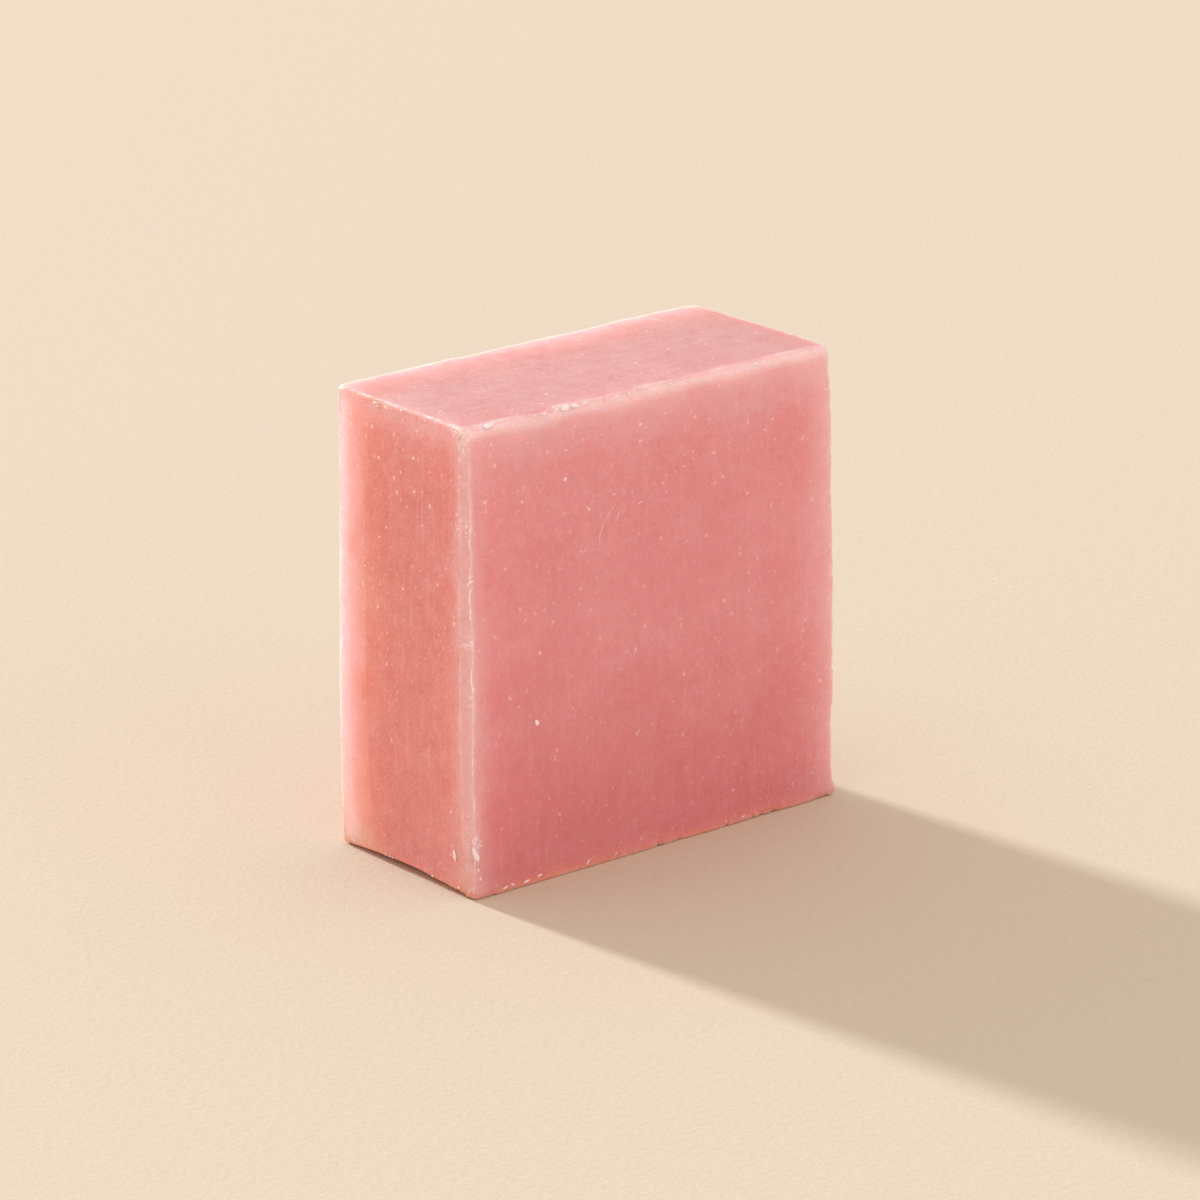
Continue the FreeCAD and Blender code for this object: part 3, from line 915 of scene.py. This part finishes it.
def soap_material():
    """Translucent rose soap, with cream grains, knife streaks and paler, drier arrises, and painted
    light: tints for the light on each side, painted glow and shade at the arrises and foot, and
    painted highlights along the arrises' borders.
    """
    material, tree, shader, places = new_material("soap")
    in_mm = on_vectors(tree, "SCALE", {0: places, 3: 1 / MM})
    pale = attribute(tree, "pale")
    grit = attribute(tree, "grit")
    clear = attribute(tree, "clear")

    clouds = texture(tree, in_mm, scale=0.09, detail=4.0, roughness=0.6)
    colour = blend(tree, between(tree, clouds, 0.35, 0.65), SOAP_ROSE, SOAP_DEEP)
    # each side's tint paints the light and shade on it, with painted shade near the floor
    colour = blend(tree, 1.0, colour, attribute(tree, "tint", "Color"), "MULTIPLY")
    # the rims paint glow and shade towards the arrises, besides the crest's dried paleness
    colour = blend(tree, attribute(tree, "rim", "Alpha"), colour, attribute(tree, "rim", "Color"))

    strokes = {"Vector": attribute(tree, "stroke", "Vector"), "Scale": STROKE_SCALE}
    drag = add(tree, "ShaderNodeMapping", strokes).outputs[0]
    streak = texture(tree, drag, scale=1.0, detail=4.0)
    dull = calculate(tree, "MULTIPLY", grit, 0.06)
    dull = calculate(tree, "MULTIPLY", between(tree, streak, 0.45, 0.75), dull)
    colour = blend(tree, dull, colour, SOAP_DRY)

    tooth = texture(tree, in_mm, scale=2.2, detail=4.0, roughness=0.78)
    mottle = texture(tree, in_mm, scale=0.5)
    uneven = calculate(tree, "ADD", tooth, calculate(tree, "MULTIPLY_ADD", mottle, 0.4, -0.70))
    uneven = calculate(tree, "MULTIPLY", uneven, grit)
    uneven = on_vectors(tree, "MULTIPLY_ADD", {0: uneven, 1: GRAIN, 2: (1, 1, 1)})
    colour = blend(tree, 1.0, colour, uneven, "MULTIPLY")

    grains = caught_grains(tree, in_mm, grit)
    clear_grains = calculate(tree, "MULTIPLY_ADD", grit, 0.25, 0.58)
    clear_grains = calculate(tree, "MULTIPLY", grains, clear_grains)
    colour = blend(tree, clear_grains, colour, SPECK_CREAM)
    colour = blend(tree, pale, colour, SOAP_DRY)

    lines, matt = dry_lines_and_highlights(tree, in_mm)
    bits = between(tree, texture(tree, in_mm, scale=2.4, detail=3.0, roughness=0.65), 0.53, 0.58)
    near_bits = calculate(tree, "MULTIPLY", attribute(tree, "bits"), BITS_STRENGTH)
    lines = calculate(tree, "MAXIMUM", lines, calculate(tree, "MULTIPLY", bits, near_bits))
    # the white lines are partly dry white bits and partly painted highlights and glow
    colour = blend(tree, lines, colour, SOAP_LINE)

    relief = calculate(tree, "MULTIPLY_ADD", streak, 0.4, calculate(tree, "MULTIPLY", grains, 0.5))
    relief = calculate(tree, "MULTIPLY_ADD", calculate(tree, "MULTIPLY", tooth, grit), 1.3, relief)
    relief = calculate(tree, "MULTIPLY_ADD", lines, 0.5, relief)

    gloss = calculate(tree, "MULTIPLY_ADD", streak, 0.16, 0.26)
    gloss = calculate(tree, "MULTIPLY_ADD", tooth, 0.16, gloss)
    gloss = calculate(tree, "ADD", calculate(tree, "MULTIPLY_ADD", pale, 0.12, gloss), matt)
    gloss = calculate(tree, "ADD", gloss, calculate(tree, "MULTIPLY_ADD", clear, -0.6, 0.6))

    connect(tree, shader["Base Color"], colour)
    connect(tree, shader["Roughness"], gloss)
    connect(tree, shader["Normal"], bumps(tree, relief, SOAP_BUMP))
    spread = calculate(tree, "MULTIPLY", clear, LIGHT_SPREAD_MM * MM)
    connect(tree, shader["Subsurface Scale"], spread)
    shine = calculate(tree, "MULTIPLY", attribute(tree, "sheen"), 0.5)
    connect(tree, shader["Specular IOR Level"], shine)
    tree.nodes["Principled BSDF"].subsurface_method = "RANDOM_WALK"
    shader["Subsurface Weight"].default_value = 1.0
    shader["Subsurface Radius"].default_value = LIGHT_SPREAD
    shader["IOR"].default_value = SOAP_IOR
    return material


def crumb_material():
    """Crumbs of the same soap, dried almost white, and rosier lower down."""
    material, tree, shader, places = new_material("soap_crumbs")
    grain = texture(tree, places, scale=900.0, detail=3.0)
    height = add(tree, "ShaderNodeSeparateXYZ", {"Vector": places}).outputs[2]
    low, high = CRUMB_HEIGHTS_MM
    dry = between(tree, height, low * MM, high * MM)
    dry = calculate(tree, "ADD", dry, calculate(tree, "SUBTRACT", grain, 0.5), clamp=True)
    connect(tree, shader["Base Color"], blend(tree, dry, CRUMB_ROSE, CRUMB_PALE))
    connect(tree, shader["Roughness"], calculate(tree, "MULTIPLY_ADD", grain, 0.3, 0.35))
    connect(tree, shader["Normal"], bumps(tree, grain, CRUMB_BUMP))
    shader["IOR"].default_value = SOAP_IOR
    return material


def floor_material():
    """A plain cream surface with a faint tooth."""
    material, tree, shader, places = new_material("floor")
    tooth = texture(tree, places, scale=1100.0, detail=3.0, roughness=0.7)
    colour = blend(tree, between(tree, tooth, 0.30, 0.70), *FLOOR_COLOURS)
    connect(tree, shader["Base Color"], colour)
    connect(tree, shader["Normal"], bumps(tree, tooth, FLOOR_BUMP))
    shader["Roughness"].default_value = 0.8
    shader["Specular IOR Level"].default_value = 0.2
    return material


# ================================================================ the scene
def outward(azimuth, elevation):
    """The direction from the bar to a camera or lamp at an azimuth and elevation in degrees."""
    a, e = math.radians(azimuth), math.radians(elevation)
    return Vector((math.sin(a) * math.cos(e), -math.cos(a) * math.cos(e), math.sin(e)))


def add_camera(middle):
    """The photograph's view: a long lens from the left of the front, a little above."""
    data = bpy.data.cameras.new("camera")
    data.lens = VIEW_LENS
    data.sensor_width = 36
    data.clip_start = 0.01
    camera = bpy.data.objects.new("camera", data)
    back = outward(VIEW_AZIMUTH, VIEW_ELEVATION)
    roll = Matrix.Rotation(math.radians(VIEW_ROLL), 3, "Z")
    turn = back.to_track_quat("Z", "Y").to_matrix() @ roll
    right, up = turn.col[0], turn.col[1]
    aim = middle - (right * VIEW_OFFSET_MM[0] + up * VIEW_OFFSET_MM[1]) * MM
    camera.matrix_world = Matrix.Translation(aim + back * VIEW_DISTANCE) @ turn.to_4x4()
    bpy.context.scene.collection.objects.link(camera)
    bpy.context.scene.camera = camera


def add_lamp(name, azimuth, elevation, spread, strength, colour):
    """A distant soft lamp, which lights the whole floor alike."""
    data = bpy.data.lights.new(name, "SUN")
    data.color = colour
    data.angle = math.radians(spread)
    data.energy = strength
    lamp = bpy.data.objects.new(name, data)
    lamp.matrix_world = outward(azimuth, elevation).to_track_quat("Z", "Y").to_matrix().to_4x4()
    bpy.context.scene.collection.objects.link(lamp)


def add_world():
    """Even, slightly warm light from all round."""
    world = bpy.data.worlds.new("world")
    world.use_nodes = True
    background = world.node_tree.nodes["Background"]
    background.inputs["Color"].default_value = WORLD_COLOUR
    background.inputs["Strength"].default_value = WORLD_STRENGTH
    bpy.context.scene.world = world


def add_floor(level):
    """The plain surface that the bar stands on."""
    bpy.ops.mesh.primitive_plane_add(size=FLOOR_SIZE, location=(0, 0, level - FLOOR_DROP))
    floor = bpy.context.object
    floor.name = "floor"
    floor.data.materials.append(floor_material())


def add_piece(name, mesh, material):
    """A piece of the object, which rides on its one body."""
    piece = bpy.data.objects.new(name, mesh)
    mesh.materials.append(material)
    bpy.context.scene.collection.objects.link(piece)
    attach(piece, "root")
    return piece


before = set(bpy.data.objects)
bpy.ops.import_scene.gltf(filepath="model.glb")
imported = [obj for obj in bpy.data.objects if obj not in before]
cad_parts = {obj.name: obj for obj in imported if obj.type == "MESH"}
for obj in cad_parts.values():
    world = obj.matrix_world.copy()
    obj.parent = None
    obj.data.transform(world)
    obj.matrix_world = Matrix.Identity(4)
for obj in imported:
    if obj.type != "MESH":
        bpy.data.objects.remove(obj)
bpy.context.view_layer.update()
low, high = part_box("soap_bar")

bar = add_piece("soap_bar_cut", soap_mesh(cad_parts["soap_bar"], low, high), soap_material())
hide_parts("soap_bar")
add_piece("soap_crumbs", crumbs_mesh(bar.data, low, high), crumb_material())

middle = (low + high) / 2
add_floor(low.z)
add_world()
for name, lamp in LAMPS.items():
    add_lamp(name, *lamp)
add_camera(middle)
bpy.context.scene.view_settings.view_transform = "Standard"
